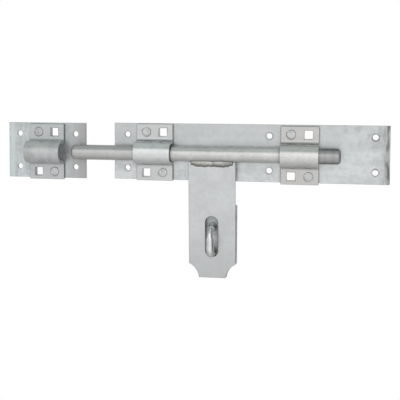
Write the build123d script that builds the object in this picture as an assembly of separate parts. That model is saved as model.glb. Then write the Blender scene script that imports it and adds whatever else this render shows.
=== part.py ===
"""Heavy padlock bolt: a round bar in two riveted guides, a slotted hasp on the bar, a staple and a keeper.

Frame: origin at the middle of the main plate's back face, +X along the bar away from the keeper,
+Y into the gate that the plates are screwed to, +Z up. Sizes are in millimetres.
"""

from build123d import *

import os
from math import asin, atan, cos, degrees, sin, sqrt

os.makedirs("parts", exist_ok=True)

# Sheet metal
SHEET = 3.0  # thickness of every plate and guide
PLATE_HEIGHT = 60.0
EDGE_ROUND = 0.4  # zinc-coated sheared edges
CORNER_ROUND = 0.8
HOLE_RADIUS = 3.0  # screw holes
HOLE_Z = 18.0  # screw holes above and below a plate's middle

# Main plate
MAIN_LENGTH = 288.0
MAIN_END_HOLE_X = 129.5
MAIN_MIDDLE_HOLE_X = 22.0

# Keeper plate
KEEPER_X = -219.7  # middle of its guide and of its screw holes
KEEPER_Z = -0.6
KEEPER_PLATE_X = -220.2
KEEPER_LENGTH = 88.0
KEEPER_HOLE_X = 32.0

# Round bar
BAR_RADIUS = 8.0
BAR_Y = -12.3
BAR_Z = -1.4
BAR_TIP_X = -188.0
BAR_LENGTH = 283.0
BAR_END_ROUND = 3.5

# Guides: a flange, a bend, half a tube, a bend and a flange, pressed from one strip
GUIDE_LENGTH = 39.0
GUIDE_HEIGHT = 60.0
GUIDE_INNER = 9.0
GUIDE_BEND = 3.5  # hollow side of the bends into the flanges
FRONT_GUIDE_X = -99.2
FRONT_GUIDE_Z = -0.8
REAR_GUIDE_X = 53.5
REAR_GUIDE_Z = -1.7
KEEPER_GUIDE_Z = -2.0

# Fastenings through a guide's flanges: a rivet and a square hole on each
FLANGE_HOLE_X = 8.9
FLANGE_HOLE_Z = 21.5
SQUARE_HOLE = 8.5
SQUARE_CORNER = 0.5
RIVET_RADIUS = 3.0
RIVET_HEAD_RADIUS = 4.7
RIVET_HEAD_HEIGHT = 0.9
RIVET_HEAD_ROUND = 0.63
RIVET_TAIL_RADIUS = 4.5
RIVET_TAIL_DEPTH = 1.5

# Hasp: a flat plate that hangs from the bar, with a slot and scalloped lower corners
HASP_X = -36.65
HASP_WIDTH = 49.5
HASP_REACH = 131.2  # from the bar's axis to the lower edge
HASP_BACK_GAP = 0.3  # behind the hasp's lower edge, in front of the staple plate
SLOT_X = -37.05
SLOT_WIDTH = 13.6
SLOT_LENGTH = 43.4
SLOT_REACH = 86.8  # from the bar's axis to the slot's middle
SCALLOP_RADIUS = 18.8
SCALLOP_OUT = 8.0  # scallop centre outside the side edge
SCALLOP_BELOW = 2.0  # scallop centre below the lower edge
BAR_CLEARANCE = 0.05  # running fit between the hasp with its welds and the bar
WELD_LENGTH = 45.0
WELD_LEG = 4.8
WELD_BULGE = 0.5  # how far a bead's face stands out from flat, in Y and in Z

# Staple: a bent round bar through its own plate
STAPLE_PLATE_X = -36.0
STAPLE_PLATE_WIDTH = 50.0
STAPLE_PLATE_TOP = -55.0
STAPLE_PLATE_BOTTOM = -132.0
STAPLE_HOLE_X = 16.0  # screw holes either side of the plate's middle
STAPLE_HOLES_Z = -89.3
STAPLE_HOLE_Z = 26.0  # screw holes above and below that
STAPLE_X = -36.5
STAPLE_Z = -91.4
STAPLE_PITCH = 25.8  # between the middles of the two legs
STAPLE_FRONT_Y = -28.0
STAPLE_BAR_RADIUS = 4.25
STAPLE_BEND_RADIUS = 8.0  # of the bar's own centre line


def flat_plate(outline):
    """A sheet of steel with its back on the gate and slightly rounded edges."""
    blank = extrude(Plane.XZ * outline, SHEET)
    return fillet(blank.edges(), EDGE_ROUND)


def front_plug(outline):
    """A straight plug along Y, long enough to cut through a plate and a guide."""
    return extrude(Plane.XZ.offset(-SHEET) * outline, 4 * SHEET)


def screw_holes(x_places, z_places):
    """Plugs for the round screw holes at every pairing of the places."""
    points = [(x, z) for x in x_places for z in z_places]
    return front_plug(Sketch() + [Pos(x, z) * Circle(HOLE_RADIUS) for x, z in points])


def guide_places(guide_x, guide_z):
    """Middles of the two rivets and the two square holes of a guide, each upper first."""
    left, right = guide_x - FLANGE_HOLE_X, guide_x + FLANGE_HOLE_X
    upper, lower = guide_z + FLANGE_HOLE_Z, guide_z - FLANGE_HOLE_Z
    return [(left, upper), (right, lower)], [(right, upper), (left, lower)]


def square_plugs(places):
    """Plugs for the square holes that stop a coach bolt from turning."""
    square = RectangleRounded(SQUARE_HOLE, SQUARE_HOLE, SQUARE_CORNER)
    return front_plug(Sketch() + [Pos(x, z) * square for x, z in places])


def rivet(x, z):
    """A steel rivet: low front head, shank through both sheets, countersunk tail flush at the back."""
    shank = extrude(Plane.XZ * Pos(x, z) * Circle(RIVET_RADIUS), 2 * SHEET)
    head = extrude(Plane.XZ.offset(2 * SHEET) * Pos(x, z) * Circle(RIVET_HEAD_RADIUS), RIVET_HEAD_HEIGHT)
    head = fillet(head.faces().sort_by(Axis.Y)[0].edges(), RIVET_HEAD_ROUND)
    tail_taper = degrees(atan((RIVET_TAIL_RADIUS - RIVET_RADIUS) / RIVET_TAIL_DEPTH))
    tail = extrude(Plane.XZ * Pos(x, z) * Circle(RIVET_TAIL_RADIUS), RIVET_TAIL_DEPTH, taper=tail_taper)
    return shank + head + tail


def guide(guide_x, guide_z):
    """A saddle pressed from a strip: its section in the Y-Z plane, extruded along the bar."""
    outer = GUIDE_INNER + SHEET
    top = GUIDE_HEIGHT / 2
    bend_z = outer + GUIDE_BEND
    bend_y = -2 * SHEET - GUIDE_BEND
    slant = sqrt(0.5)
    inner_bend = GUIDE_BEND + SHEET

    front_flange = Line((-2 * SHEET, top), (-2 * SHEET, bend_z))
    front_bend = ThreePointArc(
        (-2 * SHEET, bend_z),
        (bend_y + GUIDE_BEND * slant, bend_z - GUIDE_BEND * slant),
        (bend_y, outer),
    )
    front_wall = Line((bend_y, outer), (BAR_Y, outer))
    front_crown = ThreePointArc((BAR_Y, outer), (BAR_Y - outer * slant, outer * slant), (BAR_Y - outer, 0))
    crown_cut = Line((BAR_Y - outer, 0), (BAR_Y - GUIDE_INNER, 0))
    back_crown = ThreePointArc(
        (BAR_Y - GUIDE_INNER, 0),
        (BAR_Y - GUIDE_INNER * slant, GUIDE_INNER * slant),
        (BAR_Y, GUIDE_INNER),
    )
    back_wall = Line((BAR_Y, GUIDE_INNER), (bend_y, GUIDE_INNER))
    back_bend = ThreePointArc(
        (bend_y, GUIDE_INNER),
        (bend_y + inner_bend * slant, bend_z - inner_bend * slant),
        (-SHEET, bend_z),
    )
    back_flange = Line((-SHEET, bend_z), (-SHEET, top))
    flange_end = Line((-SHEET, top), (-2 * SHEET, top))

    outline = [front_flange, front_bend, front_wall, front_crown, crown_cut]
    outline += [back_crown, back_wall, back_bend, back_flange, flange_end]
    upper_half = make_face(Curve() + outline)
    section = upper_half + mirror(upper_half, Plane.XZ)
    strip = extrude(Plane.YZ.offset(guide_x - GUIDE_LENGTH / 2) * Pos(0, guide_z) * section, GUIDE_LENGTH)
    return fillet(strip.edges().filter_by(lambda edge: is_sheared(edge, strip)), EDGE_ROUND)


def is_sheared(edge, strip):
    """True for the edges of a guide's two ends and of its flanges' free ends."""
    box = strip.bounding_box()
    middle = edge.center()
    on_end = min(abs(middle.X - box.min.X), abs(middle.X - box.max.X)) < EDGE_ROUND / 2
    on_tip = min(abs(middle.Z - box.min.Z), abs(middle.Z - box.max.Z)) < EDGE_ROUND / 2
    return on_end or on_tip


def riveted(plate, saddle, guide_x, guide_z):
    """The plate and the saddle with their shared holes, and the rivets: plate, saddle, upper, lower."""
    rivet_places, square_places = guide_places(guide_x, guide_z)
    upper, lower = [rivet(x, z) for x, z in rivet_places]
    cutters = [square_plugs(square_places), upper, lower]
    return plate - cutters, saddle - cutters, upper, lower


def scalloped_outline(centre_x, top, bottom, width):
    """A tall plate, square above and with a hollow scallop at each lower corner."""
    height = top - bottom
    outline = Pos(centre_x, bottom + height / 2) * Rectangle(width, height)
    for side in (-1, 1):
        scallop_x = centre_x + side * (width / 2 + SCALLOP_OUT)
        outline -= Pos(scallop_x, bottom - SCALLOP_BELOW) * Circle(SCALLOP_RADIUS)
    return outline


def tilted(solid):
    """Turns a piece drawn hanging straight down from the bar until it lies close to the staple plate."""
    return Pos(0, BAR_Y, BAR_Z) * Rot(hasp_tilt, 0, 0) * solid


def weld(side):
    """A weld bead between the bar and the hasp, in front (side -1) or behind (side +1)."""
    face_y = side * SHEET / 2
    inner = BAR_RADIUS + BAR_CLEARANCE
    toe_angle = asin((SHEET / 2 + WELD_LEG) / inner)
    root_z = -sqrt(inner**2 - face_y**2)
    toe = (side * inner * sin(toe_angle), -inner * cos(toe_angle))
    middle_angle = (toe_angle + asin(SHEET / 2 / inner)) / 2
    middle = (side * inner * sin(middle_angle), -inner * cos(middle_angle))
    leg_end = (face_y, root_z - WELD_LEG)
    crown_y = (toe[0] + leg_end[0]) / 2 + side * WELD_BULGE
    crown_z = (toe[1] + leg_end[1]) / 2 - WELD_BULGE

    on_bar = ThreePointArc((face_y, root_z), middle, toe)
    bulge = ThreePointArc(toe, (crown_y, crown_z), leg_end)
    on_hasp = Line(leg_end, (face_y, root_z))
    section = make_face(Curve() + [on_bar, bulge, on_hasp])
    bead = extrude(Plane.YZ.offset(HASP_X - WELD_LENGTH / 2) * section, WELD_LENGTH)
    return tilted(bead)


# Main plate with its two guides
main_plate = flat_plate(RectangleRounded(MAIN_LENGTH, PLATE_HEIGHT, CORNER_ROUND))
main_plate -= screw_holes((-MAIN_END_HOLE_X, MAIN_MIDDLE_HOLE_X, MAIN_END_HOLE_X), (-HOLE_Z, HOLE_Z))
main_plate, front_guide_saddle, front_rivet_upper, front_rivet_lower = riveted(
    main_plate, guide(FRONT_GUIDE_X, FRONT_GUIDE_Z), FRONT_GUIDE_X, FRONT_GUIDE_Z
)
main_plate, rear_guide_saddle, rear_rivet_upper, rear_rivet_lower = riveted(
    main_plate, guide(REAR_GUIDE_X, REAR_GUIDE_Z), REAR_GUIDE_X, REAR_GUIDE_Z
)

# Keeper
keeper_outline = RectangleRounded(KEEPER_LENGTH, PLATE_HEIGHT, CORNER_ROUND)
keeper_plate = flat_plate(Pos(KEEPER_PLATE_X, KEEPER_Z) * keeper_outline)
keeper_plate -= screw_holes(
    (KEEPER_X - KEEPER_HOLE_X, KEEPER_X + KEEPER_HOLE_X), (KEEPER_Z - HOLE_Z, KEEPER_Z + HOLE_Z)
)
keeper_plate, keeper_saddle, keeper_rivet_upper, keeper_rivet_lower = riveted(
    keeper_plate, guide(KEEPER_X, KEEPER_GUIDE_Z), KEEPER_X, KEEPER_GUIDE_Z
)

# Bar
bolt_rod = extrude(Plane.YZ.offset(BAR_TIP_X) * Pos(BAR_Y, BAR_Z) * Circle(BAR_RADIUS), BAR_LENGTH)
bolt_rod = fillet(bolt_rod.faces().filter_by(Axis.X).edges(), BAR_END_ROUND)

# Hasp, drawn straight below the bar's axis and then tilted
lower_edge_back = -BAR_Y - SHEET - HASP_BACK_GAP
hasp_tilt = degrees(asin((lower_edge_back - SHEET / 2) / HASP_REACH))
hasp_outline = scalloped_outline(HASP_X, 0, -HASP_REACH, HASP_WIDTH)
hasp_slot = Pos(SLOT_X, -SLOT_REACH) * Rot(0, 0, 90) * SlotOverall(SLOT_LENGTH, SLOT_WIDTH)
hasp_blank = extrude(Plane.XZ.offset(-SHEET / 2) * (hasp_outline - hasp_slot), SHEET)
hasp_blank = fillet(hasp_blank.edges(), EDGE_ROUND)
bar_space = Plane.YZ.offset(HASP_X) * Circle(BAR_RADIUS + BAR_CLEARANCE)
hasp_blank -= extrude(bar_space, HASP_WIDTH, both=True)
above_bar = Pos(HASP_X, 0, BAR_RADIUS) * Box(2 * HASP_WIDTH, 2 * BAR_RADIUS, 2 * BAR_RADIUS)
hasp_plate = tilted(hasp_blank - above_bar)
hasp_weld_front = weld(-1)
hasp_weld_back = weld(1)

# Staple and its plate
crown_y = STAPLE_FRONT_Y + STAPLE_BAR_RADIUS
leg_upper = STAPLE_Z + STAPLE_PITCH / 2
leg_lower = STAPLE_Z - STAPLE_PITCH / 2
staple_corners = [
    (STAPLE_X, 0, leg_upper),
    (STAPLE_X, crown_y, leg_upper),
    (STAPLE_X, crown_y, leg_lower),
    (STAPLE_X, 0, leg_lower),
]
staple_path = FilletPolyline(*staple_corners, radius=STAPLE_BEND_RADIUS)
staple_section = Plane.XZ * Pos(STAPLE_X, leg_upper) * Circle(STAPLE_BAR_RADIUS)
padlock_staple = sweep(staple_section, path=staple_path)
staple_plate = flat_plate(
    scalloped_outline(STAPLE_PLATE_X, STAPLE_PLATE_TOP, STAPLE_PLATE_BOTTOM, STAPLE_PLATE_WIDTH)
)
staple_plate -= screw_holes(
    (STAPLE_PLATE_X - STAPLE_HOLE_X, STAPLE_PLATE_X + STAPLE_HOLE_X),
    (STAPLE_HOLES_Z - STAPLE_HOLE_Z, STAPLE_HOLES_Z + STAPLE_HOLE_Z),
)
staple_plate -= padlock_staple

pieces = {
    "main_plate": main_plate,
    "front_guide_saddle": front_guide_saddle,
    "front_guide_rivet_upper": front_rivet_upper,
    "front_guide_rivet_lower": front_rivet_lower,
    "rear_guide_saddle": rear_guide_saddle,
    "rear_guide_rivet_upper": rear_rivet_upper,
    "rear_guide_rivet_lower": rear_rivet_lower,
    "keeper_plate": keeper_plate,
    "keeper_saddle": keeper_saddle,
    "keeper_rivet_upper": keeper_rivet_upper,
    "keeper_rivet_lower": keeper_rivet_lower,
    "bolt_rod": bolt_rod,
    "hasp_plate": hasp_plate,
    "hasp_weld_front": hasp_weld_front,
    "hasp_weld_back": hasp_weld_back,
    "staple_plate": staple_plate,
    "padlock_staple": padlock_staple,
}
for name, piece in pieces.items():
    export_step(piece, f"parts/{name}.step")
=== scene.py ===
import math
import random

import bpy
from mathutils import Matrix, Vector, noise


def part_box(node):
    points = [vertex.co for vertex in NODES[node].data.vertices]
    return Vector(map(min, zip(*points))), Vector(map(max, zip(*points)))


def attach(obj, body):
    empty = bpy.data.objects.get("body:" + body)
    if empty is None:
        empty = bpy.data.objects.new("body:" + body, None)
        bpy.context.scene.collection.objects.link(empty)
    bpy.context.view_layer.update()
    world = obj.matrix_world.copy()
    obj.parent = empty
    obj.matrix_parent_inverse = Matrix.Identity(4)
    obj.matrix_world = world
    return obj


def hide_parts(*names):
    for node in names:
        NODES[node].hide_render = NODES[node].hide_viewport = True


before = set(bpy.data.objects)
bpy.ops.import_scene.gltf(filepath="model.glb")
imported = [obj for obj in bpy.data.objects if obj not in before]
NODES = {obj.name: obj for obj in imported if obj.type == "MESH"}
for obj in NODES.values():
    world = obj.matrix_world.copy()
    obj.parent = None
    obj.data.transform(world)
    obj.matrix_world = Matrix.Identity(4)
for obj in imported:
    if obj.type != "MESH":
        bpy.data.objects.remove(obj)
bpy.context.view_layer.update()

# A galvanised padlock bolt. The CAD nodes keep their shapes and get zinc finishes. The rivets, the weld
# beads and the staple are replaced by more detailed pieces. Sizes are in metres.

MM = 0.001

# Camera
CAMERA_PLACE = (0.0889, -0.7862, 0.0583)
CAMERA_TURN = math.radians(10.12)  # to the left of straight ahead, seen from above
CAMERA_TILT = math.radians(-3.27)
CAMERA_ROLL = math.radians(0.28)
CAMERA_LENS = 68.17
CAMERA_SHIFT = -0.15
CAMERA_NEAR = 0.01

# Stage
FLOOR_Z = -0.75
STAGE_SIZE = 12.0
WALL_Y = 3.0
STAGE_WHITE = 1.0

# Studio: brightness of the surroundings by angle about the X axis, 0 in front, 90 overhead, 180 behind
STUDIO_LEVELS = [
    (-180, 0.95), (-150, 0.78), (-110, 0.62), (-82, 0.70), (-62, 0.88), (-45, 1.00),
    (-25, 1.10), (-5, 1.20), (10, 1.40), (36, 1.44), (46, 0.84), (58, 0.72),
    (80, 0.78), (100, 0.70), (128, 0.60), (150, 0.85), (180, 0.95),
]
STUDIO_OVERHEAD = (46, 100)  # the angles with a green tinge
STUDIO_TINGE = (0.92, 0.98)  # how much red and blue it has beside its green
# How far to a side a direction points where the surroundings start and stop getting dimmer, and how dim
STUDIO_LEFT = (-0.10, -0.55, 0.72)
STUDIO_RIGHT = (0.70, 0.98, 0.35)

# Zinc
CRYSTAL_SCALE = 190
BRUSH_SCALE = 90
GRAIN_SCALE = 1300
SOOT_AND_SHADE = 0.34  # how dark the painted shade in each crevice, the worn edges and the sheared ends are beside the zinc
# how strongly the painted shade darkens a crevice
CREVICE_SHADE_WEIGHT = 0.85
EDGE_WIDTH = 0.9 * MM

# Shapes shared with the CAD pieces
SHEET = 3.0 * MM
BAR_LOW, BAR_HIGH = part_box("bolt_rod")
BAR_AXIS = (BAR_LOW + BAR_HIGH) / 2
BAR_RADIUS = (BAR_HIGH.z - BAR_LOW.z) / 2
HASP_TILT = math.radians(3.28)  # the hasp's lower edge hangs further back than its upper edge
MAIN_END_HOLE = (129.5 * MM, 18.0 * MM)  # screw holes, from the main plate's middle
MAIN_MIDDLE_HOLE = (22.0 * MM, 18.0 * MM)
SCREW_HOLE_RADIUS = 3.0 * MM
FLANGE_HOLE = (8.9 * MM, 21.5 * MM)  # square holes and rivets, from a guide's middle
FLANGE_Y = -6.5 * MM  # just in front of a guide's flanges
# How far a dark rim is full and where it ends: beyond a screw hole, and from a flange hole's middle
SCREW_RIM = (0.9 * MM, 1.9 * MM)
SQUARE_RIM = (4.6 * MM, 5.6 * MM)
RIVET_RING = (5.0 * MM, 6.2 * MM)
GUIDES = [("front_guide", "root"), ("rear_guide", "root"), ("keeper", "keeper")]  # and their bodies

# Rivets
RIVET_SHANK = 2.95 * MM
RIVET_TAIL = 4.45 * MM
RIVET_TAIL_DEPTH = 1.5 * MM
RIVET_SKIN = 0.05 * MM  # how far inside the CAD rivet the new faces stay
RIVET_RIM = 0.1 * MM  # how far the rim is inside it
RIVET_ROUND = 0.75 * MM
RIVET_DENTS = 5
RIVET_DENT_SPREAD = 2.4  # in mm, either side of the rivet's middle
RIVET_DENT_SIZES = (1.2, 2.2)  # in mm
RIVET_DENT_DEPTH = 0.11 * MM
RIVET_DOME = 0.16 * MM
# Shares of the head's height: where its rim starts, how far the rim rises, its face, and its middle
RIVET_EDGE, RIVET_RISE, RIVET_FACE, RIVET_MIDDLE = 0.15, 0.55, 0.72, 0.86
RIVET_SIDES = 64
RIVET_TAIL_STEPS = 4
RIVET_RIM_STEPS = 6
RIVET_FACE_STEPS = 12

# Staple
STAPLE_BEND = 8.0 * MM
STAPLE_STEPS = 14
STAPLE_SIDES = 40
STAPLE_DENT = 0.035  # depth of the hammer marks, as a share of the radius
# How wide the staple is, beside its legs, at shares of the way along it
STAPLE_WIDTHS = [
    (0.0, 1.0), (0.20, 0.92), (0.31, 0.68), (0.35, 0.68), (0.46, 0.97), (0.50, 1.0), (1.0, 1.0),
]

# Weld beads
WELD_LEG = 6.0 * MM
WELD_TOE_ANGLE = math.radians(35)  # on the bar, from straight below its axis
WELD_KNEE = (0.9, -3.6)  # in mm, where the face bends most, from its toe
WELD_GAP = 0.05 * MM  # clear of the bar
WELD_INSET = 0.2 * MM  # at each end of the CAD bead
WELD_RIPPLE = 2.6 * MM
WELD_RIPPLE_HEIGHT = 0.06 * MM
WELD_LOBES = [(0.0, 0.60), (0.42, 1.0)]  # where each lobe starts and ends, as shares of the length
WELD_LOBE_POWER = 0.2  # the smaller, the blunter the lobes' ends
WELD_THINNEST = 0.15
WELD_SINK = 0.1 * MM  # of a bead's back in the hasp
WELD_OUT = (0.85, -0.53)  # the way its face looks, as (y, z)
WELD_STEPS = 180
WELD_FACE_STEPS = 18
WELD_ROOT_STEPS = 4

WAVE_SCALE = 260  # of the uneven shape of the welds and the staple


def grey(level, red=0.956, blue=1.0):
    """A zinc grey; red and blue are its shares of the green."""
    return (level * red, level, level * blue, 1.0)


def add_camera():
    data = bpy.data.cameras.new("camera")
    data.lens = CAMERA_LENS
    data.shift_y = CAMERA_SHIFT
    data.clip_start = CAMERA_NEAR
    camera = bpy.data.objects.new("camera", data)
    turn = Matrix.Rotation(CAMERA_TURN, 4, "Z")
    tilt = Matrix.Rotation(math.pi / 2 + CAMERA_TILT, 4, "X")
    roll = Matrix.Rotation(CAMERA_ROLL, 4, "Z")
    camera.matrix_world = Matrix.Translation(CAMERA_PLACE) @ turn @ tilt @ roll
    bpy.context.scene.collection.objects.link(camera)
    bpy.context.scene.camera = camera


def side_dimming(tree, sideways, side):
    """1 towards the middle, and dimmer towards one side."""
    start, stop, dimmest = side
    dimming = tree.nodes.new("ShaderNodeMapRange")
    dimming.interpolation_type = "SMOOTHSTEP"
    dimming.inputs["From Min"].default_value = stop
    dimming.inputs["From Max"].default_value = start
    dimming.inputs["To Min"].default_value = dimmest
    tree.links.new(sideways, dimming.inputs["Value"])
    return dimming.outputs[0]


def add_world():
    """A soft studio. Its brightness depends on the angle about the X axis, 0 in front and 90 overhead,
    falls off a little to the left and a lot far to the right."""
    world = bpy.data.worlds.new("studio")
    world.use_nodes = True
    tree = world.node_tree
    background = tree.nodes["Background"]
    place = tree.nodes.new("ShaderNodeTexCoord")
    split = tree.nodes.new("ShaderNodeSeparateXYZ")
    forward = tree.nodes.new("ShaderNodeMath")
    forward.operation = "MULTIPLY"
    forward.inputs[1].default_value = -1.0
    angle = tree.nodes.new("ShaderNodeMath")
    angle.operation = "ARCTAN2"
    share = tree.nodes.new("ShaderNodeMapRange")
    share.inputs["From Min"].default_value = -math.pi
    share.inputs["From Max"].default_value = math.pi
    ramp = tree.nodes.new("ShaderNodeValToRGB")
    ramp.color_ramp.interpolation = "EASE"
    while len(ramp.color_ramp.elements) < len(STUDIO_LEVELS):
        ramp.color_ramp.elements.new(0.5)
    for element, (degrees, level) in zip(ramp.color_ramp.elements, STUDIO_LEVELS):
        element.position = (degrees + 180) / 360
        overhead = STUDIO_OVERHEAD[0] <= degrees <= STUDIO_OVERHEAD[1]
        element.color = grey(level, *STUDIO_TINGE) if overhead else grey(level, 1.0)
    strength = tree.nodes.new("ShaderNodeMath")
    strength.operation = "MULTIPLY"
    tree.links.new(place.outputs["Generated"], split.inputs[0])
    tree.links.new(split.outputs["Y"], forward.inputs[0])
    tree.links.new(split.outputs["Z"], angle.inputs[0])
    tree.links.new(forward.outputs[0], angle.inputs[1])
    tree.links.new(angle.outputs[0], share.inputs["Value"])
    tree.links.new(share.outputs[0], ramp.inputs[0])
    tree.links.new(ramp.outputs[0], background.inputs["Color"])
    tree.links.new(side_dimming(tree, split.outputs["X"], STUDIO_LEFT), strength.inputs[0])
    tree.links.new(side_dimming(tree, split.outputs["X"], STUDIO_RIGHT), strength.inputs[1])
    tree.links.new(strength.outputs[0], background.inputs["Strength"])
    bpy.context.scene.world = world


def plain_sheet(name, corners):
    """A flat white sheet of the studio, which only the camera sees."""
    mesh = bpy.data.meshes.new(name)
    mesh.from_pydata(corners, [], [(0, 1, 2, 3)])
    sheet = bpy.data.objects.new(name, mesh)
    sheet.visible_diffuse = False
    sheet.visible_glossy = False
    sheet.visible_shadow = False
    bpy.context.scene.collection.objects.link(sheet)
    white = bpy.data.materials.new(name)
    white.use_nodes = True
    shader = white.node_tree.nodes["Principled BSDF"]
    shader.inputs["Base Color"].default_value = (0, 0, 0, 1)
    shader.inputs["Specular IOR Level"].default_value = 0.0
    shader.inputs["Emission Color"].default_value = (1, 1, 1, 1)
    shader.inputs["Emission Strength"].default_value = STAGE_WHITE
    mesh.materials.append(white)


def add_stage():
    half = STAGE_SIZE / 2
    floor = [(-half, -half), (half, -half), (half, half), (-half, half)]
    wall = [(-half, FLOOR_Z), (half, FLOOR_Z), (half, half), (-half, half)]
    plain_sheet("floor", [(x, y, FLOOR_Z) for x, y in floor])
    plain_sheet("backdrop", [(x, WALL_Y, z) for x, z in wall])


class Finish:
    """A node material round one Principled shader, with textures in the object's own coordinates."""

    def __init__(self, name, metallic):
        self.material = bpy.data.materials.new(name)
        self.material.use_nodes = True
        self.tree = self.material.node_tree
        self.shader = self.tree.nodes["Principled BSDF"]
        self.shader.inputs["Metallic"].default_value = metallic
        self.place = self.add("ShaderNodeTexCoord").outputs["Object"]

    def add(self, kind, values=None, **settings):
        """A new node; each value is a number, a colour or another node's output."""
        node = self.tree.nodes.new(kind)
        for key, value in settings.items():
            setattr(node, key, value)
        for key, value in (values or {}).items():
            if isinstance(value, bpy.types.NodeSocket):
                self.tree.links.new(value, node.inputs[key])
            else:
                node.inputs[key].default_value = value
        return node

    def placed(self, stretch, shift):
        values = {"Vector": self.place, "Scale": stretch, "Location": shift}
        return self.add("ShaderNodeMapping", values).outputs[0]

    def noise(self, scale, detail, stretch=(1, 1, 1), shift=(0, 0, 0)):
        values = {"Vector": self.placed(stretch, shift), "Scale": scale, "Detail": detail}
        return self.add("ShaderNodeTexNoise", values).outputs[0]

    def spangle(self, scale, shift):
        """One random value for each crystal of the zinc."""
        warp = self.add("ShaderNodeTexNoise", {"Vector": self.place, "Scale": scale * 1.5})
        near = self.add(
            "ShaderNodeVectorMath",
            {0: warp.outputs["Color"], 1: (0.5 / scale,) * 3, 2: self.placed((1, 1, 1), shift)},
            operation="MULTIPLY_ADD",
        )
        cells = self.add("ShaderNodeTexVoronoi", {"Vector": near.outputs[0], "Scale": scale})
        split = self.add("ShaderNodeSeparateColor", {0: cells.outputs["Color"]})
        return split.outputs[0]

    def math(self, operation, *values):
        return self.add("ShaderNodeMath", dict(enumerate(values)), operation=operation).outputs[0]

    def product(self, first, *others):
        for other in others:
            first = self.math("MULTIPLY", first, other)
        return first

    def total(self, base, terms):
        """base plus weight x (value - 0.5) for each (value, weight)."""
        result = base - sum(weight for _, weight in terms) / 2
        for value, weight in terms:
            result = self.math("MULTIPLY_ADD", value, weight, result)
        return result

    def ramp(self, value, low, high, to_low=0.0, to_high=1.0):
        values = {"Value": value, "From Min": low, "From Max": high, "To Min": to_low, "To Max": to_high}
        return self.add("ShaderNodeMapRange", values, interpolation_type="SMOOTHSTEP").outputs[0]

    def axis(self, name):
        """The place along one of the object's own axes."""
        return self.add("ShaderNodeSeparateXYZ", {0: self.place}).outputs[name]

    def facing(self, name):
        """How far the surface faces along an axis, from -1 to 1."""
        normal = self.add("ShaderNodeNewGeometry").outputs["Normal"]
        return self.add("ShaderNodeSeparateXYZ", {0: normal}).outputs[name]

    def mixed(self, factor, first, second):
        return self.add("ShaderNodeMix", {0: factor, 6: first, 7: second}, data_type="RGBA").outputs[2]

    def edges(self, radius):
        """1 along the piece's edges and 0 elsewhere."""
        rounded = self.add("ShaderNodeBevel", {"Radius": radius}, samples=6).outputs[0]
        normal = self.add("ShaderNodeNewGeometry").outputs["Normal"]
        likeness = self.add("ShaderNodeVectorMath", {0: rounded, 1: normal}, operation="DOT_PRODUCT")
        return self.ramp(likeness.outputs["Value"], 0.995, 0.86)

    def cut_ends(self):
        """1 on the faces that look along the bar, which are sheared, and 0 elsewhere."""
        return self.ramp(self.math("ABSOLUTE", self.facing("X")), 0.45, 0.85)

    def away(self, x, z):
        """How far (x, z) is from the origin."""
        squares = self.math("ADD", self.math("POWER", x, 2.0), self.math("POWER", z, 2.0))
        return self.math("SQRT", squares)

    def hole_rims(self, x, z, hole):
        """1 on the rim of a screw hole and 0 elsewhere."""
        away = self.away(self.math("SUBTRACT", x, hole[0]), self.math("SUBTRACT", z, hole[1]))
        full, gone = SCREW_RIM
        return self.ramp(away, SCREW_HOLE_RADIUS + gone, SCREW_HOLE_RADIUS + full)

    def painted_crevice_shade(self, reach):
        """Painted shade: 1 deep in corners and holes, found by ambient occlusion, and 0 in the open."""
        opening = self.add("ShaderNodeAmbientOcclusion", {"Distance": reach}, samples=8).outputs["AO"]
        return self.ramp(opening, 0.92, 0.35)

    def finish(self, colour, roughness, height, depth):
        bump = self.add("ShaderNodeBump", {"Height": height, "Distance": depth, "Strength": 1.0})
        self.tree.links.new(colour, self.shader.inputs["Base Color"])
        self.tree.links.new(roughness, self.shader.inputs["Roughness"])
        self.tree.links.new(bump.outputs[0], self.shader.inputs["Normal"])
        return self.material


def zinc(name, light, dark, streaks=(1, 1, 1), streak_weight=0.3, cloud_scale=60, rough=0.34,
         shift=(0, 0, 0), reach=4 * MM, ends=0.45, wear=0.85, metallic=1.0,
         relief=0.12 * MM, patches=None):
    """Hot-dip galvanised steel: clouds, faint crystals, brushed streaks, fine grain, painted shade in
    each crevice.

    streaks stretches the brushed texture along each axis, reach is how far out from a crevice the
    painted shade reaches, ends and wear are how dark the sheared ends and the edges are, and patches
    gives more (mask, colour) pairs.
    """
    surface = Finish(name, metallic)
    clouds = surface.noise(cloud_scale, 5.0, shift=shift)
    mottle = surface.noise(cloud_scale * 4, 3.0, shift=shift)
    crystals = surface.spangle(CRYSTAL_SCALE, shift)
    grain = surface.noise(GRAIN_SCALE, 2.0, shift=shift)
    brushed = surface.noise(BRUSH_SCALE, 5.0, streaks, shift)
    in_colour = [
        (clouds, 1.5), (mottle, 0.8), (crystals, 0.16), (brushed, streak_weight * 4), (grain, 0.25),
    ]
    in_roughness = [(clouds, 0.14), (crystals, 0.06), (brushed, 0.10), (grain, 0.06)]
    in_height = [(mottle, 0.8), (crystals, 0.05), (brushed, streak_weight), (grain, 0.25)]

    colour = surface.mixed(surface.ramp(surface.total(0.5, in_colour), 0.0, 1.0), dark, light)
    for mask, tint in (patches(surface) if patches else []):
        colour = surface.mixed(mask, colour, tint)
    soot_and_shade = tuple(SOOT_AND_SHADE * channel for channel in dark[:3]) + (1.0,)
    uneven = surface.ramp(mottle, 0.3, 0.6, 0.45, 1.0)
    worn = surface.product(surface.edges(EDGE_WIDTH), uneven)
    # the dark of worn edges and sheared ends, and painted shade in each crevice from ambient occlusion
    sooty_and_shaded = [(worn, wear), (surface.cut_ends(), ends), (surface.painted_crevice_shade(reach), CREVICE_SHADE_WEIGHT)]
    for mask, weight in sooty_and_shaded:
        colour = surface.mixed(surface.product(mask, weight), colour, soot_and_shade)
    roughness = surface.total(rough, in_roughness)
    return surface.finish(colour, roughness, surface.total(0.5, in_height), relief)


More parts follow.
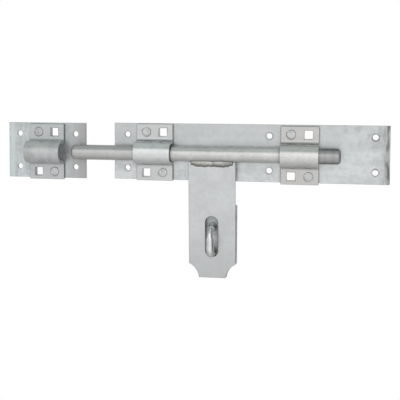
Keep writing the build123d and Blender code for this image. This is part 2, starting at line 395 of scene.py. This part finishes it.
def main_plate_patches(surface):
    """A duller upper half, dark hole rims, and smears and stains at the far end."""
    far_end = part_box("main_plate")[1].x
    x, z = surface.axis("X"), surface.axis("Z")
    from_x, from_z = surface.math("ABSOLUTE", x), surface.math("ABSOLUTE", z)

    upper = surface.ramp(z, -12 * MM, 22 * MM)
    dull = surface.ramp(x, far_end - 90 * MM, far_end - 50 * MM, 0.5, 0.35)

    end = surface.ramp(x, far_end - 16 * MM, far_end - 3 * MM)
    fine = surface.ramp(surface.noise(420, 3.0, (1, 1, 0.16)), 0.42, 0.62, 0.15, 1.0)
    coarse = surface.ramp(surface.noise(120, 3.0, (1.4, 1, 0.45), (0.2, 0, 0)), 0.42, 0.58)
    edge = surface.ramp(x, far_end - 4.5 * MM, far_end - 2 * MM)

    near_hole = surface.product(
        surface.ramp(x, far_end - 70 * MM, far_end - 30 * MM), surface.ramp(z, -15 * MM, 12 * MM))
    blots = surface.ramp(surface.noise(110, 5.0, shift=(0.4, 0, 0.1)), 0.47, 0.66)

    end_rims = surface.hole_rims(from_x, from_z, MAIN_END_HOLE)
    middle_rims = surface.hole_rims(x, from_z, MAIN_MIDDLE_HOLE)
    uneven = surface.ramp(surface.noise(160, 2.0, shift=(0.1, 0, 0.3)), 0.42, 0.58, 0.3, 1.0)
    darker = surface.ramp(x, -20 * MM, far_end - 20 * MM, 0.35, 0.9)
    rims = surface.product(uneven, darker, surface.math("MAXIMUM", end_rims, middle_rims))
    return [
        (surface.product(upper, dull), grey(0.46)),
        (surface.product(end, 0.35), grey(0.34)),
        (surface.product(fine, coarse, end, 0.75), grey(0.16)),
        (surface.product(edge, fine, 0.75), grey(0.12)),
        (surface.product(near_hole, blots, 0.55), grey(0.34)),
        (rims, grey(0.16)),
    ]


def keeper_patches(surface):
    """The keeper plate is darker and a little warmer towards the bar."""
    plate_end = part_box("keeper_plate")[1].x
    saddle_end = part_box("keeper_saddle")[1].x
    dull = surface.ramp(surface.axis("X"), saddle_end - 8 * MM, plate_end, 0.0, 0.95)
    return [(dull, grey(0.38, 0.99, 0.99))]


def bar_patches(surface):
    """The bar's far end, past the rear guide, is bare and darker, with painted shade on its top and its
    underside. Its end towards the keeper is a little duller than its middle."""
    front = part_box("front_guide_saddle")[0].x
    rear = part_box("rear_guide_saddle")[1].x
    dull = surface.ramp(surface.axis("X"), front + 12 * MM, front - 4 * MM, 0.0, 0.55)
    bare = surface.ramp(surface.axis("X"), rear - 6 * MM, rear + 6 * MM)
    rings = surface.ramp(surface.noise(300, 3.0, (1, 0.05, 0.05)), 0.25, 0.7, 0.65, 0.90)
    # painted shade on the bare end's faces that look up or down
    painted_shade_top_and_bottom = surface.ramp(surface.math("ABSOLUTE", surface.facing("Z")), 0.55, 0.98, 0.0, 0.85)
    return [
        (dull, grey(0.42, 0.99, 0.99)),
        (surface.product(bare, rings), grey(0.27, 0.98, 1.0)),
        (surface.product(bare, painted_shade_top_and_bottom), grey(0.10, 1.0, 0.99)),
    ]


def guide_patches(node, level, red, blue):
    """A guide's flanges are duller than its crown, with dark rims round the square holes and rivets."""
    low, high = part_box(node)
    holes_x, holes_z = FLANGE_HOLE

    def patches(surface):
        across = surface.math("SUBTRACT", surface.axis("X"), (low.x + high.x) / 2)
        up = surface.math("SUBTRACT", surface.axis("Z"), (low.z + high.z) / 2)
        flange = surface.ramp(surface.axis("Y"), FLANGE_Y - 3.5 * MM, FLANGE_Y)
        # the square holes are upper right and lower left, and the rivets are on the other diagonal
        at_square = surface.ramp(surface.product(across, up), -1e-5, 1e-5)
        at_rivet = surface.math("SUBTRACT", 1.0, at_square)
        from_x = surface.math("SUBTRACT", surface.math("ABSOLUTE", across), holes_x)
        from_z = surface.math("SUBTRACT", surface.math("ABSOLUTE", up), holes_z)
        from_x, from_z = surface.math("ABSOLUTE", from_x), surface.math("ABSOLUTE", from_z)
        square = surface.ramp(surface.math("MAXIMUM", from_x, from_z), SQUARE_RIM[1], SQUARE_RIM[0])
        ring = surface.ramp(surface.away(from_x, from_z), RIVET_RING[1], RIVET_RING[0])
        uneven = surface.ramp(surface.noise(150, 2.0), 0.42, 0.58, 0.1, 1.0)
        rims = surface.math("ADD", surface.product(square, at_square), surface.product(ring, at_rivet))
        return [
            (surface.product(flange, 0.7), grey(level, red, blue)),
            (surface.product(rims, uneven, 0.6), grey(0.20, red, blue)),
        ]

    return patches


def weld_patches(surface):
    """Where the beads face down they are browner, and darker from painted shade."""
    # painted shade, with a browner tint, on the faces that look down
    shade_and_tint_below = surface.ramp(surface.facing("Z"), -0.25, -0.70)
    return [(surface.product(shade_and_tint_below, 0.75), grey(0.25, 1.05, 0.92))]


def hasp_patches(surface):
    """The hasp is duller towards its lower edge."""
    low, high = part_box("hasp_plate")
    lower = surface.ramp(surface.axis("Z"), high.z - 60 * MM, low.z)
    return [(surface.product(lower, 0.55), grey(0.42, 0.97))]


def dress(material, node):
    """Gives a CAD node its finish."""
    for slot in NODES[node].material_slots:
        slot.material = material


def new_piece(name, vertices, faces, material, body, replaced):
    """A smooth-shaded mesh piece that stands for a CAD node."""
    mesh = bpy.data.meshes.new(name)
    mesh.from_pydata(vertices, [], faces)
    mesh.update()
    for polygon in mesh.polygons:
        polygon.use_smooth = True
    mesh.materials.append(material)
    piece = bpy.data.objects.new(name, mesh)
    bpy.context.scene.collection.objects.link(piece)
    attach(piece, body)
    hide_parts(replaced)


def lobe(position, left, right):
    """How full a weld lobe is at a place along it: 0 at its ends and 1 at its middle."""
    across = (position - left) / (right - left)
    if not 0.0 < across < 1.0:
        return 0.0
    return math.sin(math.pi * across) ** WELD_LOBE_POWER


def weld_section(side, x, full):
    """One closed section of a bead, as (y, z) about the bar's axis: its face, then its back."""
    root = BAR_RADIUS + WELD_GAP
    face = SHEET / 2
    wave = noise.noise(Vector((x * WAVE_SCALE, side * 3.0, 0.0)))
    reach = WELD_LEG * full * (0.88 + 0.22 * wave)
    start_angle = math.asin(face / root)
    toe_angle = start_angle + (WELD_TOE_ANGLE - 0.10 * wave - start_angle) * full
    toe = Vector((root * math.sin(toe_angle), -root * math.cos(toe_angle)))
    start = Vector((face, -root * math.cos(start_angle)))
    foot = Vector((face, start.y - reach))
    knee = toe + Vector((WELD_KNEE[0] + 0.4 * wave, WELD_KNEE[1])) * MM * full
    points = []
    for k in range(WELD_FACE_STEPS + 1):
        t = k / WELD_FACE_STEPS
        arch = math.sin(math.pi * t)
        crest = math.cos(2 * math.pi * (x / WELD_RIPPLE + 0.5 * arch))
        swell = WELD_RIPPLE_HEIGHT * crest * arch
        points.append(toe.lerp(knee, t).lerp(knee.lerp(foot, t), t) + Vector(WELD_OUT) * swell)
    points.append(Vector((face - WELD_SINK, foot.y + WELD_SINK)))
    points.append(Vector((face - WELD_SINK, start.y)))
    for k in range(1, WELD_ROOT_STEPS):
        angle = start_angle + (toe_angle - start_angle) * k / WELD_ROOT_STEPS
        points.append(Vector((root * math.sin(angle), -root * math.cos(angle))))
    return [(side * point.x, point.y) for point in points]


def weld_bead(name, node, side, material):
    """A rippled bead of two overlapping lobes in the corner between the bar and the hasp."""
    low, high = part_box(node)
    first_x, length = low.x + WELD_INSET, high.x - low.x - 2 * WELD_INSET
    to_row = Matrix.Translation((0, BAR_AXIS.y, BAR_AXIS.z)) @ Matrix.Rotation(HASP_TILT, 4, "X")
    vertices, faces = [], []
    for i in range(WELD_STEPS + 1):
        share = i / WELD_STEPS
        x = first_x + share * length
        full = max(WELD_THINNEST, *(lobe(share, start, end) for start, end in WELD_LOBES))
        section = weld_section(side, x, full)
        vertices += [to_row @ Vector((x, y, z)) for y, z in section]
    ring = len(section)
    for i in range(WELD_STEPS):
        for k in range(ring):
            here, after = i * ring + k, i * ring + (k + 1) % ring
            corner = (here, after, after + ring, here + ring)
            faces.append(corner if side > 0 else corner[::-1])
    first = tuple(range(ring))
    last = tuple(range(WELD_STEPS * ring, (WELD_STEPS + 1) * ring))
    faces.append(first[::-1] if side > 0 else first)
    faces.append(last if side > 0 else last[::-1])
    new_piece(name, vertices, faces, material, "hasp", node)


def rivet_profile(low, high, head_back):
    """A rivet's outline, as (radius, y), from its tail's middle to just short of its head's middle."""
    rim = (high.x - low.x) / 2 - RIVET_RIM
    flat = rim - RIVET_ROUND
    head_height = head_back - low.y
    tail_y = high.y - RIVET_SKIN
    profile = [(RIVET_TAIL * k / RIVET_TAIL_STEPS, tail_y) for k in range(RIVET_TAIL_STEPS + 1)]
    profile.append((RIVET_SHANK, high.y - RIVET_TAIL_DEPTH))
    profile.append((RIVET_SHANK, head_back - RIVET_SKIN))
    profile.append((rim, head_back - 0.02 * MM))
    for k in range(RIVET_RIM_STEPS + 1):
        angle = math.pi / 2 * k / RIVET_RIM_STEPS
        radius = rim - RIVET_ROUND * (1 - math.cos(angle))
        profile.append((radius, head_back - (RIVET_EDGE + RIVET_RISE * math.sin(angle)) * head_height))
    for k in range(1, RIVET_FACE_STEPS):
        profile.append((flat * (1 - k / RIVET_FACE_STEPS), head_back - RIVET_FACE * head_height))
    return profile


def hammered(across, up, y, dome, dents):
    """A place on a rivet's head after hammering: further out for the dome, and further in at a dent."""
    for dent_x, dent_z, size in dents:
        gap = math.hypot(across - dent_x, up - dent_z) / size
        y += RIVET_DENT_DEPTH * max(0.0, 1 - gap * gap)
    return y - RIVET_DOME * dome


def stitch(rings):
    """Faces between closed rings of vertices, where a ring of one vertex is a pole."""
    faces = []
    for before, after in zip(rings, rings[1:]):
        sides = max(len(before), len(after))
        for k in range(sides):
            following = (k + 1) % sides
            if len(before) == 1:
                faces.append((before[0], after[k], after[following]))
            elif len(after) == 1:
                faces.append((before[k], after[0], before[following]))
            else:
                faces.append((before[k], after[k], after[following], before[following]))
    return faces


def rivet(node, body, material, seed):
    """A hammered rivet: a low, dented head in front, and a flush tail at the plate's back."""
    low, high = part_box(node)
    centre_x, centre_z = (low.x + high.x) / 2, (low.z + high.z) / 2
    head_radius = (high.x - low.x) / 2
    head_back = high.y - 2 * SHEET
    draw = random.Random(seed)
    spread = RIVET_DENT_SPREAD
    dents = []
    for _ in range(RIVET_DENTS):
        across, up = draw.uniform(-spread, spread), draw.uniform(-spread, spread)
        dents.append((across * MM, up * MM, draw.uniform(*RIVET_DENT_SIZES) * MM))
    profile = rivet_profile(low, high, head_back)
    vertices = [(centre_x, profile[0][1], centre_z)]
    rings = [[0]]
    for radius, y in profile[1:]:
        rings.append([len(vertices) + k for k in range(RIVET_SIDES)])
        in_head = y < head_back
        for k in range(RIVET_SIDES):
            angle = 2 * math.pi * k / RIVET_SIDES
            out = radius
            if radius > RIVET_SHANK or in_head:
                out *= 1 + 0.012 * math.sin(2 * angle + seed) + 0.01 * math.sin(5 * angle + 2 * seed)
            out = min(out, head_radius)
            across, up = out * math.cos(angle), out * math.sin(angle)
            depth = y
            if in_head:
                dome = 1 - min(1.0, radius / head_radius) ** 2
                depth = min(hammered(across, up, y, dome, dents), head_back - RIVET_SKIN)
            vertices.append((centre_x + across, depth, centre_z + up))
    rings.append([len(vertices)])
    vertices.append((centre_x, head_back - RIVET_MIDDLE * (head_back - low.y), centre_z))
    name = node.replace("rivet", "hammered_rivet")
    new_piece(name, vertices, stitch(rings), material, body, node)


def staple_path(front, upper, lower):
    """The staple's middle line from its upper leg to its lower, as (y, z, along y, along z)."""
    bend = STAPLE_BEND
    steps = STAPLE_STEPS
    path = [((front + bend) * k / steps, upper, -1.0, 0.0) for k in range(steps)]
    for k in range(steps + 1):
        angle = math.pi / 2 * k / steps
        y, z = front + bend * (1 - math.sin(angle)), upper - bend * (1 - math.cos(angle))
        path.append((y, z, -math.cos(angle), -math.sin(angle)))
    for k in range(1, steps):
        z = upper - bend + (lower - upper + 2 * bend) * k / steps
        path.append((front, z, 0.0, -1.0))
    for k in range(steps + 1):
        angle = math.pi / 2 * k / steps
        y, z = front + bend * (1 - math.cos(angle)), lower + bend * (1 - math.sin(angle))
        path.append((y, z, math.sin(angle), -math.cos(angle)))
    path += [((front + bend) * (1 - k / steps), lower, 1.0, 0.0) for k in range(1, steps + 1)]
    return path


def staple_width(share):
    """The staple's width at a share of the way along it, beside that of its legs."""
    for (start, wide), (end, next_wide) in zip(STAPLE_WIDTHS, STAPLE_WIDTHS[1:]):
        if share <= end:
            part = (share - start) / (end - start)
            return wide + (next_wide - wide) * part * part * (3 - 2 * part)


def forged_staple(name, node, material):
    """A staple hammered from round bar, narrower where its front leaves the upper bend."""
    low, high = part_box(node)
    radius = (high.x - low.x) / 2
    middle_x = (low.x + high.x) / 2
    path = staple_path(low.y + radius, high.z - radius, low.z + radius)
    sides = STAPLE_SIDES
    vertices, faces = [], []
    for i, (y, z, along_y, along_z) in enumerate(path):
        wide = staple_width(i / (len(path) - 1))
        for k in range(sides):
            angle = 2 * math.pi * k / sides
            place = Vector((math.cos(angle) * 1.3, y * WAVE_SCALE, z * WAVE_SCALE))
            dented = 1 - STAPLE_DENT * (0.5 + 0.5 * noise.noise(place))
            across = radius * wide * dented * math.cos(angle)
            out = radius * (0.6 + 0.4 * wide) * dented * math.sin(angle)
            vertices.append((middle_x + across, min(y - out * along_z, high.y), z + out * along_y))
    for i in range(len(path) - 1):
        for k in range(sides):
            here, after = i * sides + k, i * sides + (k + 1) % sides
            faces.append((here, after, after + sides, here + sides))
    faces.append(tuple(range(sides))[::-1])
    faces.append(tuple(range((len(path) - 1) * sides, len(path) * sides)))
    new_piece(name, vertices, faces, material, "root", node)


add_camera()
add_world()
add_stage()
bpy.context.scene.view_settings.view_transform = "Standard"

# reach sets how far each finish's painted crevice shade spreads; the long reaches on the staple plate
# and the bar paint shade behind the hasp and along the bar
plate_zinc = zinc("zinc_main_plate", grey(0.635), grey(0.50), streaks=(0.12, 1, 1.6), streak_weight=0.35,
                  reach=2.5 * MM, metallic=0.75, wear=1.3, patches=main_plate_patches)
keeper_zinc = zinc("zinc_keeper_plate", grey(0.62, 0.94, 1.01), grey(0.46, 0.94, 1.01),
                   streaks=(2.2, 1, 0.12), streak_weight=0.5, reach=1.5 * MM, metallic=0.5,
                   shift=(0.3, 0, 0.7), patches=keeper_patches)
staple_plate_zinc = zinc("zinc_staple_plate", grey(0.74), grey(0.62), reach=9.0 * MM, metallic=0.4,
                         shift=(0.9, 0, 0.2))
front_zinc = zinc("zinc_front_guide", grey(0.665, 0.98), grey(0.565, 0.98), streaks=(0.1, 1, 1.5),
                  rough=0.22, shift=(0.1, 0.5, 0), wear=1.2, relief=0.08 * MM,
                  patches=guide_patches("front_guide_saddle", 0.47, 0.97, 1.0))
rear_zinc = zinc("zinc_rear_guide", grey(0.60, 1.0, 0.98), grey(0.49, 1.0, 0.98), streaks=(0.1, 1, 1.5),
                 rough=0.22, shift=(0.6, 0.5, 0), wear=1.4, relief=0.07 * MM,
                 patches=guide_patches("rear_guide_saddle", 0.42, 1.02, 0.97))
keeper_guide_zinc = zinc("zinc_keeper_guide", grey(0.54, 0.965, 0.995), grey(0.42, 0.965, 0.995),
                         streaks=(1.6, 0.2, 0.15), rough=0.30, metallic=0.6, shift=(0.2, 0.1, 0.4),
                         patches=guide_patches("keeper_saddle", 0.50, 0.95, 1.01))
rivet_zinc = zinc("zinc_rivets", grey(0.54, 0.98), grey(0.42, 0.98), cloud_scale=220, rough=0.28)
bar_zinc = zinc("zinc_bar", grey(0.61, 1.0, 0.98), grey(0.50, 1.0, 0.98), streaks=(0.06, 1, 1),
                rough=0.31, reach=14 * MM, wear=0.25, relief=0.05 * MM, patches=bar_patches)
hasp_zinc = zinc("zinc_hasp", grey(0.59, 0.97), grey(0.51, 0.97), streaks=(1.6, 1, 0.12),
                 streak_weight=0.2, reach=1 * MM, ends=0.25, shift=(0.5, 0, 0.5), patches=hasp_patches)
staple_zinc = zinc("zinc_staple", grey(0.80, 0.98), grey(0.62, 0.98), cloud_scale=120, reach=2 * MM,
                   rough=0.24, shift=(0.7, 0.3, 0))
weld_zinc = zinc("zinc_weld", grey(0.56, 1.0, 0.97), grey(0.28, 1.02, 0.94), cloud_scale=50,
                 rough=0.20, reach=1.2 * MM, wear=0.4, relief=0.03 * MM, patches=weld_patches)

dress(plate_zinc, "main_plate")
dress(keeper_zinc, "keeper_plate")
dress(staple_plate_zinc, "staple_plate")
dress(front_zinc, "front_guide_saddle")
dress(rear_zinc, "rear_guide_saddle")
dress(keeper_guide_zinc, "keeper_saddle")
dress(bar_zinc, "bolt_rod")
dress(hasp_zinc, "hasp_plate")

forged_staple("forged_staple", "padlock_staple", staple_zinc)
weld_bead("front_weld_bead", "hasp_weld_front", -1, weld_zinc)
weld_bead("back_weld_bead", "hasp_weld_back", 1, weld_zinc)
for pair, (guide, body) in enumerate(GUIDES):
    rivet(f"{guide}_rivet_upper", body, rivet_zinc, 2 * pair)
    rivet(f"{guide}_rivet_lower", body, rivet_zinc, 2 * pair + 1)
